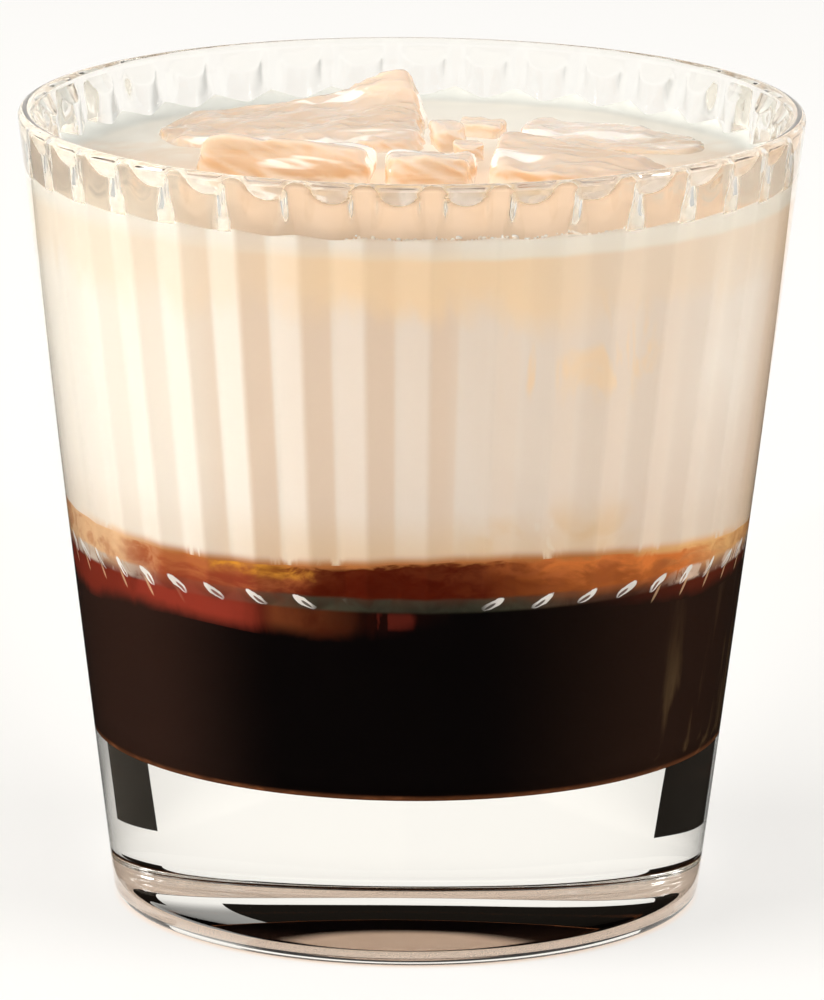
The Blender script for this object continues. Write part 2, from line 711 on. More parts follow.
@dataclass(frozen=True)
class BlendFinish:
    """Where coffee and cream have begun to mix, with the glints of the flutes' ends over it."""

    dark_red: Colour = (0.088, 0.009, 0.003)
    rust: Colour = (0.500, 0.150, 0.050)
    amber: Colour = (0.770, 0.230, 0.055)
    gold: Colour = (0.826, 0.380, 0.040)
    tan: Colour = (0.860, 0.560, 0.320)
    right_tan: Colour = (0.920, 0.540, 0.230)
    brick: Colour = (0.310, 0.042, 0.024)
    umber: Colour = (0.054, 0.008, 0.003)
    low_right: Colour = (0.110, 0.020, 0.010)
    grey: Colour = (0.062, 0.062, 0.042)
    mauve: Colour = (0.220, 0.110, 0.070)
    blush: Colour = (0.820, 0.620, 0.480)
    smoke: Colour = (0.660, 0.560, 0.470)
    shine: Colour = (0.970, 0.950, 0.920)

    def upper(self, tree: Tree, effects: Effects, place: Any) -> Socket:
        """The layer above the flutes' ends: dark in the middle, rust and tan left, amber right.

        Args:
            tree: The material's tree.
            effects: The shared node groups.
            place: The place_in_glass outputs.

        Returns:
            The colour's socket.
        """
        height, side = place["Height"], place["Side"]
        clouds = effects.stir(tree, scale=95.0, tall=2.2, swirl=1.8, low=0.35, high=0.65, seed=1.0)
        grain = effects.stir(tree, scale=260.0, tall=2.0, swirl=1.0, low=0.35, high=0.65, seed=6.0)
        moved = scaled(tree, minus(tree, clouds, 0.5), 9.0, side)
        body = blend(tree, span(tree, moved, -12.0, -34.0), self.dark_red, self.rust)
        pale = times(tree, span(tree, moved, -46.0, -60.0), span(tree, clouds, 0.1, 0.7, 0.5, 1.0))
        body = blend(tree, pale, body, self.tan)
        body = blend(tree, span(tree, moved, 8.0, 34.0), body, self.amber)
        body = blend(tree, span(tree, moved, 50.0, 70.0), body, self.right_tan)
        body = blend(tree, times(tree, grain, span(tree, side, 0.0, 30.0, 0.1, 0.4)), body, self.rust)
        gold = times(tree, window(tree, moved, -33.0, -24.0, 7.0), window(tree, height, 46.9, 47.9, 0.8),
                     grain)
        body = blend(tree, gold, body, self.gold)
        under = scaled(tree, grain, 0.6, attribute(tree, "below_top"))
        deep = blend(tree, span(tree, side, -34.0, -14.0), self.brick, self.dark_red)
        mottled = scaled(tree, clouds, 2.2, minus(tree, under, 1.1))
        sides = times(tree, span(tree, side, -66.0, -42.0), span(tree, side, 66.0, 38.0, 0.3))
        patches = times(tree, span(tree, mottled, 1.0, 3.6), sides, span(tree, side, 14.0, 34.0, 0.75, 0.5))
        body = blend(tree, patches, body, deep)
        return blend(tree, span(tree, under, 0.85, 0.1), body, SeamFinish().colour(tree, side))

    def lower(self, tree: Tree, effects: Effects, place: Any) -> Socket:
        """The layer below the flutes' ends: brick red left, umber in columns, black, dark red right.

        Args:
            tree: The material's tree.
            effects: The shared node groups.
            place: The place_in_glass outputs.

        Returns:
            The colour's socket.
        """
        height, side = place["Height"], place["Side"]
        coffee = CoffeeFinish().body(tree, place)
        streaks = effects.stir(tree, scale=150.0, tall=0.35, swirl=0.8, low=0.35, high=0.65, seed=3.0)
        moved = scaled(tree, minus(tree, streaks, 0.5), 7.0, side)
        body = blend(tree, span(tree, moved, -62.0, -48.0, 0.4, 0.0), self.brick, self.umber)
        body = blend(tree, span(tree, moved, -40.0, -18.0), body, self.umber)
        columns = times(tree, streaks, window(tree, side, -24.0, -11.0, 4.0), 0.25)
        body = blend(tree, columns, body, self.rust)
        body = blend(tree, span(tree, moved, -20.0, -4.0, 0.0, 0.85), body, coffee)
        red = times(tree, window(tree, moved, -4.0, 3.0, 2.0), window(tree, height, 41.3, 42.6, 0.7))
        body = blend(tree, times(tree, red, 0.3), body, self.brick)
        body = blend(tree, span(tree, moved, 2.0, 12.0), body, coffee)
        body = blend(tree, span(tree, moved, 26.0, 66.0), body, self.low_right)
        over = scaled(tree, streaks, -0.8, attribute(tree, "above_foot"))
        return blend(tree, span(tree, over, 1.6, -0.6), body, coffee)

    def material(self, effects: Effects) -> Material:
        """Builds the finish.

        Args:
            effects: The shared node groups.

        Returns:
            The material.
        """
        material, tree, shader = start_material("blended_layer", 0.3)
        place = use(tree, effects.place)
        ends = use(tree, effects.ends)
        height, side = place["Height"], place["Side"]
        body = blend(tree, span(tree, height, 43.2, 45.0), self.lower(tree, effects, place),
                     self.upper(tree, effects, place))
        away = calc(tree, "ABSOLUTE", side)
        glaze = effects.stir(tree, scale=210.0, tall=0.7, swirl=1.0, low=0.35, high=0.65, seed=8.0)
        band = blend(tree, span(tree, away, 16.0, 40.0), self.grey, self.mauve)
        dim = times(tree, scaled(tree, glaze, 0.4, 0.5), span(tree, away, 50.0, 14.0, 0.3))
        body = blend(tree, times(tree, ends["Band"], dim), body, band)
        thin = blend(tree, span(tree, side, -10.0, 10.0), self.smoke, self.blush)
        glitter = effects.stir(tree, scale=330.0, tall=0.8, swirl=0.8, low=0.45, high=0.56, seed=12.0)
        merged = times(tree, ends["Merged"], scaled(tree, glitter, 0.85, 0.12))
        body = blend(tree, merged, body, thin)
        body = blend(tree, times(tree, ends["Streak"], 0.6), body, self.tan)
        eye = times(tree, ends["Eye"], minus(tree, 1.0, times(tree, ends["Pupil"], 0.9)))
        body = blend(tree, eye, body, self.shine)
        fill(tree, shader, {"Base Color": body, "Specular IOR Level": 0.0})
        return material


@dataclass(frozen=True)
class CoffeeFinish:
    """Coffee liqueur, black in the middle, brown where it is thin."""

    black: Colour = (0.003, 0.002, 0.002)
    left: Colour = (0.030, 0.015, 0.011)
    right: Colour = (0.024, 0.012, 0.008)
    olive: Colour = (0.150, 0.095, 0.045)
    ember: Colour = (0.480, 0.090, 0.040)
    fringe: Colour = (0.300, 0.110, 0.045)
    underside: Colour = (0.700, 0.560, 0.460)

    def body(self, tree: Tree, place: Any) -> Socket:
        """The plain coffee's colour round the glass.

        Args:
            tree: The material's tree.
            place: The place_in_glass outputs.

        Returns:
            The colour's socket.
        """
        body = blend(tree, span(tree, place["Side"], -24.0, -58.0), self.black, self.left)
        return blend(tree, span(tree, place["Side"], 12.0, 62.0), body, self.right)

    def material(self, effects: Effects) -> Material:
        """Builds the finish.

        Args:
            effects: The shared node groups.

        Returns:
            The material.
        """
        material, tree, shader = start_material("coffee", 0.2)
        place = use(tree, effects.place)
        height, side = place["Height"], place["Side"]
        streaks = effects.stir(tree, scale=330.0, tall=0.06, swirl=0.3, low=0.5, high=0.7, seed=5.0)
        body = self.body(tree, place)
        lines = times(tree, streaks, span(tree, side, 50.0, 60.0),
                      span(tree, height, 39.0, 27.0, 0.25, 1.0))
        body = blend(tree, times(tree, lines, 0.6), body, self.olive)
        away = calc(tree, "ABSOLUTE", side)
        glow = times(tree, span(tree, height, 23.6, 21.0), span(tree, away, 25.0, 60.0, 0.1, 1.0),
                     span(tree, place["Out"], 33.0, 34.0))
        body = blend(tree, glow, body, self.ember)
        rim = times(tree, span(tree, height, 20.6, 20.0), window(tree, place["Out"], 29.2, 33.0, 0.6))
        body = blend(tree, times(tree, rim, scaled(tree, streaks, 0.5, 0.4)), body, self.fringe)
        below = times(tree, span(tree, height, 19.9, 19.8), span(tree, place["Out"], 17.0, 11.5))
        body = blend(tree, below, body, self.underside)
        fill(tree, shader, {"Base Color": body, "Specular IOR Level": 0.0})
        return material


@dataclass(frozen=True)
class IceFinish:
    """Ice under a film of cream: peach, orange in its faces, streaked and glossy with melt."""

    pale: Colour = (0.580, 0.455, 0.355)
    peach: Colour = (0.500, 0.360, 0.245)
    orange: Colour = (0.500, 0.295, 0.150)
    clear: Colour = (0.690, 0.585, 0.495)
    film: Colour = (0.600, 0.475, 0.365)
    shine: Colour = (0.860, 0.820, 0.760)
    ior: float = 1.31
    clearness: float = 0.0
    lit_through: float = 0.05
    bleed: Colour = (1.0, 0.6, 0.35)
    bleed_depth: float = 2.0 * MM

    def material(self, effects: Effects) -> Material:
        """Builds the finish.

        Args:
            effects: The shared node groups.

        Returns:
            The material.
        """
        material, tree, shader = start_material("ice", 0.22)
        facing = parts(tree, add(tree, "ShaderNodeNewGeometry").outputs["Normal"])["Z"]
        coords = coordinates(tree)
        spot = parts(tree, coords)
        clouds = effects.stir(tree, scale=120.0, tall=1.6, swirl=1.5, low=0.35, high=0.65, seed=9.0)
        turned = add(tree, "ShaderNodeMapping", {
            "Vector": coords, "Rotation": (0.0, math.radians(-18.0), math.radians(20.0)),
            "Scale": (26.0, 210.0, 260.0),
        })
        lines = noise_texture(tree, turned.outputs[0], 1.0, 3.0, 0.6)
        grain = span(tree, lines, 0.42, 0.70)
        glint = span(tree, lines, 0.615, 0.65)
        low = scaled(tree, clouds, -2.0 * MM, spot["Z"])
        body = blend(tree, span(tree, low, 91.0 * MM, 88.0 * MM), self.peach, self.orange)
        body = blend(tree, span(tree, facing, 0.1, 0.85, 0.0, 0.85), body, self.pale)
        back = span(tree, spot["Y"], 4.0 * MM, 16.0 * MM)
        right = span(tree, spot["X"], 8.0 * MM, 18.0 * MM)
        body = blend(tree, times(tree, back, right, span(tree, facing, 0.4, 0.9), 0.8), body, self.clear)
        body = blend(tree, times(tree, grain, 0.3), body, self.clear)
        body = blend(tree, times(tree, glint, 0.6), body, self.shine)
        film = scaled(tree, clouds, 0.7 * MM, spot["Z"])
        body = blend(tree, span(tree, film, 88.9 * MM, 87.9 * MM), body, self.film)
        bump = add(tree, "ShaderNodeBump", {"Strength": 0.5, "Distance": 0.35 * MM, "Height": grain})
        fill(tree, shader, {
            "Base Color": body, "Normal": bump.outputs[0], "IOR": self.ior, "Specular IOR Level": 0.2,
            "Coat Weight": 0.5, "Coat Roughness": 0.08, "Transmission Weight": self.clearness,
            "Emission Color": body, "Emission Strength": self.lit_through, "Subsurface Weight": 0.4,
            "Subsurface Radius": self.bleed, "Subsurface Scale": self.bleed_depth,
        })
        return material


@dataclass(frozen=True)
class BubbleFinish:
    """Thin films of cream round air: pale, wet and shining."""

    film: Colour = (0.950, 0.840, 0.720)
    bright: Colour = (0.980, 0.960, 0.930)

    def material(self) -> Material:
        """Builds the finish.

        Returns:
            The material.
        """
        material, tree, shader = start_material("bubbles", 0.12)
        grain = noise_texture(tree, coordinates(tree), 1500.0, 2.0)
        body = blend(tree, span(tree, grain, 0.4, 0.6), self.film, self.bright)
        fill(tree, shader, {"Base Color": body, "Coat Weight": 1.0, "Coat Roughness": 0.03})
        return material


@dataclass(frozen=True)
class FloorFinish:
    """The plain pale floor."""

    pale: Colour = (0.340, 0.334, 0.324)
    outer: Colour = (0.220, 0.221, 0.217)
    gathered: Colour = (0.380, 0.300, 0.240)
    distant: Colour = (0.350, 0.346, 0.339)
    glow: float = 0.58

    def material(self) -> Material:
        """Builds the finish.

        Returns:
            The material.
        """
        material, tree, shader = start_material("pale_floor", 0.7)
        coords = coordinates(tree)
        grain = noise_texture(tree, coords, 6.0, 2.0)
        spot = parts(tree, coords)
        far = calc(tree, "MAXIMUM", span(tree, spot["X"], 0.12, 0.35), span(tree, spot["X"], -0.055, -0.20))
        shade = blend(tree, far, self.pale, self.outer)
        behind = times(tree, span(tree, spot["Y"], 0.08, 0.35), minus(tree, 1.0, far))
        shade = blend(tree, behind, shade, self.distant)
        shade = blend(tree, grain, shade, blend(tree, 0.03, shade, self.outer))
        out = add(tree, "ShaderNodeVectorMath", {0: coords}, operation="LENGTH").outputs["Value"]
        shade = blend(tree, span(tree, out, 35.0 * MM, 33.0 * MM), shade, self.gathered)
        fill(tree, shader, {
            "Base Color": shade, "Emission Color": shade, "Emission Strength": self.glow / self.pale[0],
        })
        return material


def arc(centre: tuple[float, float], radius: float, start: float, end: float, steps: int) -> list:
    """Points (radius, height) of an arc, both ends included.

    Args:
        centre: The arc's centre.
        radius: Its radius.
        start: Its first angle, in degrees.
        end: Its last angle, in degrees.
        steps: How many stretches it has.

    Returns:
        The points.
    """
    turns = (math.radians(start + (end - start) * i / steps) for i in range(steps + 1))
    return [(centre[0] + radius * math.cos(a), centre[1] + radius * math.sin(a)) for a in turns]


def link(name: str, mesh: Mesh) -> Object:
    """Puts a mesh into the scene as an object at the origin.

    Args:
        name: The object's name.
        mesh: The mesh.

    Returns:
        The object.
    """
    obj = bpy.data.objects.new(name, mesh)
    bpy.context.scene.collection.objects.link(obj)
    return obj


def dress(obj: Object, material: Material, slot: Slot, *nodes: str) -> Object:
    """Gives a finished piece its material, body, slot and the nodes that it stands for.

    Args:
        obj: The piece.
        material: Its material.
        slot: The record's slot that it takes its finish from.
        *nodes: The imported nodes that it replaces.

    Returns:
        The piece.
    """
    obj.data.materials.clear()
    obj.data.materials.append(material)
    obj.data.shade_smooth()
    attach(obj, "root")
    if nodes:
        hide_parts(*nodes)
    LOG.info("%s: %d faces, stands for %s", obj.name, len(obj.data.polygons), ", ".join(nodes) or "nothing")
    return obj


def plain_copy(obj: Object, name: str) -> Object:
    """Turns an object's evaluated shape into a plain mesh object and removes the first.

    Args:
        obj: The object with live modifiers.
        name: The new object's name.

    Returns:
        The plain object.
    """
    graph = bpy.context.evaluated_depsgraph_get()
    mesh = bpy.data.meshes.new_from_object(obj.evaluated_get(graph))
    mesh.name = name
    bpy.data.objects.remove(obj, do_unlink=True)
    return link(name, mesh)


def start_tree(name: str, inputs: dict[str, float]) -> tuple:
    """Starts a Geometry Nodes tree that takes a geometry and numbers.

    Args:
        name: The tree's name.
        inputs: Its number inputs with what they are set to; a whole number makes a whole-number input.

    Returns:
        The tree and its Group Input node's outputs.
    """
    tree = bpy.data.node_groups.new(name, "GeometryNodeTree")
    for way in ("INPUT", "OUTPUT"):
        tree.interface.new_socket("Geometry", in_out=way, socket_type="NodeSocketGeometry")
    for label, value in inputs.items():
        kind = "NodeSocketInt" if isinstance(value, int) else "NodeSocketFloat"
        tree.interface.new_socket(label, in_out="INPUT", socket_type=kind)
    return tree, tree.nodes.new("NodeGroupInput").outputs


def end_tree(tree: Tree, shape: Socket, material: Material) -> None:
    """Ends a Geometry Nodes tree in Realize Instances and Set Material.

    Args:
        tree: The tree.
        shape: The geometry that it has made.
        material: What the geometry is made of.
    """
    real = add(tree, "GeometryNodeRealizeInstances", {"Geometry": shape})
    painted = add(tree, "GeometryNodeSetMaterial", {"Geometry": real.outputs[0], "Material": material})
    add(tree, "NodeGroupOutput", {"Geometry": painted.outputs[0]})


def run_tree(obj: Object, tree: Tree, inputs: dict[str, float]) -> None:
    """Puts a Geometry Nodes tree on an object and sets its inputs.

    Args:
        obj: The object.
        tree: The tree.
        inputs: What its number inputs are set to.
    """
    modifier = obj.modifiers.new(tree.name, "NODES")
    modifier.node_group = tree
    for item in tree.interface.items_tree:
        if item.in_out == "INPUT" and item.name in inputs:
            modifier[item.identifier] = inputs[item.name]


@dataclass
class Tumbler:
    """The glass: a profile turned and fluted by Geometry Nodes."""

    shape: TumblerShape
    turn_steps: int = 576
    run_out_rows: int = 24
    wall_rows: int = 8
    flare_rows: int = 10
    hollow_rows: int = 30
    corner_rows: int = 14
    lip_rows: int = 16
    outside_rows: int = 20
    foot_rows: int = 10
    floor_ring: float = 0.6

    def profile(self) -> tuple[list, list]:
        """The outline from the floor up the inside, over the lip and down to the hollow foot.

        Returns:
            The points (radius, height), and for each whether it is on the fluted inner wall.
        """
        s = self.shape
        lip = (s.rim_radius - s.lip_rounding, s.height - s.lip_rounding)
        flare_foot = s.flare_foot()
        corner_top = s.floor_height + s.floor_rounding
        corner_centre = (s.inner_radius(corner_top) - s.floor_rounding, corner_top)
        inside = [(0.0, s.floor_height), (self.floor_ring * corner_centre[0], s.floor_height)]
        inside += arc(corner_centre, s.floor_rounding, -90, 0, self.corner_rows)
        flute_full = s.flute_foot + s.run_out
        steps = [np.linspace(corner_top, s.flute_foot, self.wall_rows)[1:]]
        steps.append(np.linspace(s.flute_foot, flute_full, self.run_out_rows)[1:])
        steps.append(np.linspace(flute_full, flare_foot - s.arch_run, self.wall_rows)[1:])
        steps.append(np.linspace(flare_foot - s.arch_run, flare_foot, self.flare_rows)[1:])
        inside += [(s.inner_radius(z), z) for z in np.concatenate(steps)]
        start = (s.inner_radius(flare_foot), flare_foot)
        middle = ((start[0] + lip[0] - s.lip_rounding) / 2 + s.flare_belly, lip[1] - s.lip_rounding)
        end = (lip[0] - s.lip_rounding, lip[1])
        for low, high in ((start, middle), (middle, end)):
            for i in range(1, self.flare_rows + 1):
                share = i / self.flare_rows
                inside.append(tuple(low[k] + (high[k] - low[k]) * share for k in range(2)))
        foot_centre = (s.outer_radius(s.foot_rounding) - s.foot_rounding, s.foot_rounding)
        outside = arc(lip, s.lip_rounding, 180, 0, self.lip_rows)[1:]
        rows = np.linspace(lip[1], foot_centre[1], self.outside_rows)[1:-1]
        outside += [(s.outer_radius(z), z) for z in rows]
        outside += arc(foot_centre, s.foot_rounding, 0, -90, self.foot_rows)
        ball = (s.hollow_radius**2 + s.hollow_depth**2) / (2.0 * s.hollow_depth)
        edge = math.degrees(math.acos(s.hollow_radius / ball))
        outside += arc((0.0, s.hollow_depth - ball), ball, edge, 90, self.hollow_rows)[:-1]
        outside += [(0.0, s.hollow_depth)]
        return inside + outside, [1.0] * len(inside) + [0.0] * len(outside)

    def inputs(self) -> dict[str, float]:
        """The node tree's number inputs by name.

        Returns:
            What each is set to.
        """
        s = self.shape
        return {
            "Turn Steps": self.turn_steps, "Flutes": float(s.flutes), "First Rib": s.first_rib,
            "Flute Depth": s.flute_depth, "Rib Relief": s.rib_relief, "Rib Rounding": s.rib_rounding,
            "Flute Foot": s.flute_foot, "Run Out": s.run_out, "Run Out Depth": s.run_out_depth,
            "Wall Radius": s.inner_radius(0.0), "Wall Slope": s.inner_slope(), "Arch Width": s.arch_width,
            "Arch Foot": s.flare_foot() - s.arch_run, "Arch Run": s.arch_run,
        }

    def tree(self, material: Material) -> Tree:
        """The Geometry Nodes tree that turns the profile and cuts the flutes.

        Args:
            material: What the glass is made of.

        Returns:
            The tree.
        """
        tree, given = start_tree("turn_and_flute", self.inputs())
        count = add(tree, "GeometryNodeAttributeDomainSize", {0: given["Geometry"]}).outputs["Point Count"]
        columns = calc(tree, "ADD", given["Turn Steps"], 1.0)
        sheet = add(tree, "GeometryNodeMeshGrid", {"Size X": 1.0, "Size Y": 1.0, "Vertices X": count,
                                                   "Vertices Y": columns}).outputs["Mesh"]
        position = add(tree, "GeometryNodeInputPosition").outputs[0]
        flat = parts(tree, position)
        last = minus(tree, count, 1.0)
        row = calc(tree, "ROUND", times(tree, calc(tree, "ADD", flat["X"], 0.5), last))
        turn = scaled(tree, calc(tree, "ADD", flat["Y"], 0.5), TURN, given["First Rib"])
        marked = add(tree, "GeometryNodeInputNamedAttribute", {"Name": "inside"}, data_type="FLOAT")
        samples = []
        for kind, value in (("FLOAT_VECTOR", position), ("FLOAT", marked.outputs[0])):
            sample = add(tree, "GeometryNodeSampleIndex", data_type=kind)
            fill(tree, sample, {0: given["Geometry"], "Value": value, "Index": row})
            samples.append(sample.outputs[0])
        turned = parts(tree, samples[0])
        radius, height = turned["X"], turned["Z"]
        counted = times(tree, minus(tree, turn, given["First Rib"]),
                        calc(tree, "DIVIDE", given["Flutes"], TURN))
        across = calc(tree, "FLOORED_MODULO", counted, 1.0)
        off = minus(tree, 1.0, calc(tree, "ABSOLUTE", scaled(tree, across, 2.0, -1.0)))
        soft = times(tree, given["Rib Rounding"], given["Rib Rounding"])
        slant = calc(tree, "SQRT", scaled(tree, off, off, soft))
        most = calc(tree, "SQRT", calc(tree, "ADD", soft, 1.0))
        groove = calc(tree, "DIVIDE", minus(tree, slant, given["Rib Rounding"]),
                      minus(tree, most, given["Rib Rounding"]))
        beside = calc(tree, "MINIMUM", calc(tree, "DIVIDE", off, given["Arch Width"]), 1.0)
        arch = minus(tree, 1.0, times(tree, beside, beside))
        arch = minus(tree, 1.0, calc(tree, "SQRT", arch))
        share = calc(tree, "DIVIDE", minus(tree, height, given["Arch Foot"]), given["Arch Run"])
        share = held(tree, share)
        groove = scaled(tree, minus(tree, arch, groove), share, groove)
        left = minus(tree, calc(tree, "ADD", given["Flute Foot"], given["Run Out"]), height)
        left = held(tree, calc(tree, "DIVIDE", left, given["Run Out"]))
        curve = calc(tree, "SQRT", minus(tree, 1.0, times(tree, left, left)))
        shallow = times(tree, given["Run Out Depth"], minus(tree, 1.0, curve))
        fluted = scaled(tree, given["Wall Slope"], height, given["Wall Radius"])
        fluted = calc(tree, "ADD", fluted, given["Rib Relief"])
        fluted = scaled(tree, given["Flute Depth"], groove, fluted)
        fluted = minus(tree, fluted, shallow)
        cut = times(tree, samples[1], calc(tree, "GREATER_THAN", height, given["Flute Foot"]))
        grown = calc(tree, "MAXIMUM", minus(tree, fluted, radius), 0.0)
        final = scaled(tree, grown, cut, radius)
        spot = add(tree, "ShaderNodeCombineXYZ", {
            0: times(tree, final, calc(tree, "COSINE", turn)),
            1: times(tree, final, calc(tree, "SINE", turn)),
            2: height,
        })
        shaped = add(tree, "GeometryNodeSetPosition", {"Geometry": sheet, "Position": spot.outputs[0]})
        closed = add(tree, "GeometryNodeMergeByDistance",
                     {"Geometry": shaped.outputs[0], "Distance": 0.001 * MM})
        end_tree(tree, closed.outputs[0], material)
        return tree

    def build(self, material: Material) -> Object:
        """Makes the tumbler.

        Args:
            material: What the glass is made of.

        Returns:
            The finished piece.
        """
        points, inside = self.profile()
        mesh = bpy.data.meshes.new("tumbler_profile")
        mesh.from_pydata([(r, 0.0, z) for r, z in points], [(i, i + 1) for i in range(len(points) - 1)], [])
        mesh.attributes.new("inside", "FLOAT", "POINT").data.foreach_set("value", inside)
        obj = link("tumbler_profile", mesh)
        run_tree(obj, self.tree(material), self.inputs())
        made = plain_copy(obj, "fluted_tumbler")
        point_outwards(made.data)
        return dress(made, material, Slot.GLASS, "glass")


def point_outwards(mesh: Mesh) -> None:
    """Turns a closed mesh's faces to point outwards.

    Args:
        mesh: The mesh.
    """
    made = bmesh.new()
    made.from_mesh(mesh)
    bmesh.ops.recalc_face_normals(made, faces=made.faces)
    if made.calc_volume(signed=True) < 0.0:
        bmesh.ops.reverse_faces(made, faces=made.faces)
    made.to_mesh(mesh)
    made.free()


@dataclass
class PouredLayer:
    """One layer of the drink, cut to the fluted wall and reaching just into it."""

    shape: TumblerShape
    name: str
    node: str
    lower: Callable[[np.ndarray, np.ndarray], np.ndarray]
    upper: Callable[[np.ndarray, np.ndarray], np.ndarray]
    side_rows: int = 24
    disc_rows: int = 14
    top_rows: int = 14
    crowding: float = 1.0
    rounded_foot: bool = False
    corner_rows: int = 14
    turn_steps: int = 576
    overlap: float = 0.06 * MM
    outmost: float = 40.0 * MM
    edge_angle: float = math.radians(60.0)

    def turns(self) -> np.ndarray:
        """The angles of the steps round the glass, a whole number of them to each flute, from a rib on."""
        return self.shape.first_rib + np.arange(self.turn_steps) * TURN / self.turn_steps

    def disc(self, height: Callable, rows: int) -> np.ndarray:
        """Rings of the lower or upper face, from near the middle to just inside the wall.

        Args:
            height: Height of the face at x and y.
            rows: How many rings.

        Returns:
            The rings' points.
        """
        turn = self.turns()
        edge = height(np.cos(turn) * self.outmost, np.sin(turn) * self.outmost)
        reach = self.shape.wetted_radius(turn, np.maximum(edge, self.shape.floor_height)) + self.overlap
        shares = 1.0 - (1.0 - np.linspace(0.0, 1.0, rows + 1)[1:-1]) ** self.crowding
        rings = []
        for share in shares:
            radius = reach * share
            x, y = radius * np.cos(turn), radius * np.sin(turn)
            rings.append(np.stack([x, y, height(x, y)], axis=-1))
        return np.array(rings)

    def corner(self, turn: np.ndarray) -> list:
        """Rings round the corner between the glass's floor and its wall, pressed into the glass.

        Args:
            turn: The angles of the steps round the glass.

        Returns:
            The rings' points, from the floor outwards.
        """
        s = self.shape
        centre = (s.inner_radius(s.floor_height + s.floor_rounding) - s.floor_rounding,
                  s.floor_height + s.floor_rounding)
        points = arc(centre, s.floor_rounding + self.overlap, -90, 0, self.corner_rows)[:-1]
        across, deep = np.cos(turn), np.sin(turn)
        return [np.stack([r * across, r * deep, np.full_like(turn, z)], axis=-1) for r, z in points]

    def side(self) -> np.ndarray:
        """Rings up the side, along the wall, from the lower to the upper face.

        Returns:
            The rings' points.
        """
        turn = self.turns()
        x, y = np.cos(turn) * self.outmost, np.sin(turn) * self.outmost
        low, high = self.lower(x, y), self.upper(x, y)
        rings = []
        if self.rounded_foot:
            rings += self.corner(turn)
            low = np.full_like(x, self.shape.floor_height + self.shape.floor_rounding)
        for share in np.linspace(0.0, 1.0, self.side_rows):
            z = low + (high - low) * share
            radius = self.shape.wetted_radius(turn, z) + self.overlap
            rings.append(np.stack([radius * np.cos(turn), radius * np.sin(turn), z], axis=-1))
        return np.array(rings)

    def build(self, material: Material, slot: Slot) -> Object:
        """Makes the layer.

        Args:
            material: What it is made of.
            slot: The record's slot for it.

        Returns:
            The finished piece.
        """
        under = self.disc(self.lower, self.disc_rows)
        over = self.disc(self.upper, self.top_rows)[::-1]
        rings = np.concatenate([under, self.side(), over])
        zero = np.zeros(1)
        poles = [(0.0, 0.0, float(f(zero, zero)[0])) for f in (self.lower, self.upper)]
        mesh = ringed_mesh(self.name, rings, poles)
        spots = np.concatenate([rings.reshape(-1, 3), np.array(poles)])
        x, y, z = spots.T
        for label, rise in (("above_foot", z - self.lower(x, y)), ("below_top", self.upper(x, y) - z)):
            mesh.attributes.new(label, "FLOAT", "POINT").data.foreach_set("value", rise / MM)
        obj = link(self.name, mesh)
        point_outwards(obj.data)
        piece = dress(obj, material, slot, self.node)
        piece.data.set_sharp_from_angle(angle=self.edge_angle)
        return piece


def ringed_mesh(name: str, rings: np.ndarray, poles: list) -> Mesh:
    """A closed mesh from rings of points, with a point at each end.

    Args:
        name: The mesh's name.
        rings: Points by ring and step.
        poles: The first and the last point.

    Returns:
        The mesh.
    """
    rows, count, _ = rings.shape
    points = np.concatenate([rings.reshape(-1, 3), np.array(poles)])
    step = np.arange(count)
    after = (step + 1) % count
    faces = []
    for row in range(rows - 1):
        a, b = row * count, (row + 1) * count
        faces += np.stack([a + step, a + after, b + after, b + step], axis=-1).tolist()
    first, last = rows * count, rows * count + 1
    faces += np.stack([after, step, np.full(count, first)], axis=-1).tolist()
    base = (rows - 1) * count
    faces += np.stack([base + step, base + after, np.full(count, last)], axis=-1).tolist()
    mesh = bpy.data.meshes.new(name)
    mesh.from_pydata(points.tolist(), [], faces)
    return mesh


@dataclass(frozen=True)
class Border:
    """A border between two layers: its level, and its waves round the glass (count, height, phase)."""

    level: float
    waves: tuple[tuple[int, float, float], ...]

    def height(self, shape: TumblerShape, x: np.ndarray, y: np.ndarray) -> np.ndarray:
        """The border's height at places in the glass.

        Args:
            shape: The tumbler.
            x: Places to the right.
            y: Places to the back.

        Returns:
            The heights.
        """
        turn = np.arctan2(y, x)
        out = np.minimum(np.hypot(x, y) / shape.inner_radius(self.level), 1.0)
        rise = sum(high * np.sin(count * turn + phase) for count, high, phase in self.waves)
        return self.level + out * rise * MM


@dataclass(frozen=True)
class Levels:
    """The heights of the drink's layers, and how its surface is drawn up the wall."""

    surface: float = 87.4 * MM
    cream_foot: Border = Border(
        48.0 * MM, ((1, 0.56, -2.22), (2, 0.42, -1.86), (3, 0.62, -1.20), (5, 0.1, 2.5)))
    blend_foot: Border = Border(
        40.3 * MM, ((1, 1.0, 1.76), (2, 0.55, -2.82), (3, 0.22, -1.78), (5, 0.8, 0.92)))
    meniscus: float = 0.45 * MM
    groove_rise: float = 1.0 * MM
    meniscus_width: float = 0.9 * MM
    front_share: float = 0.4
    turnover: float = 20.0 * MM
    ripple: float = 0.08 * MM


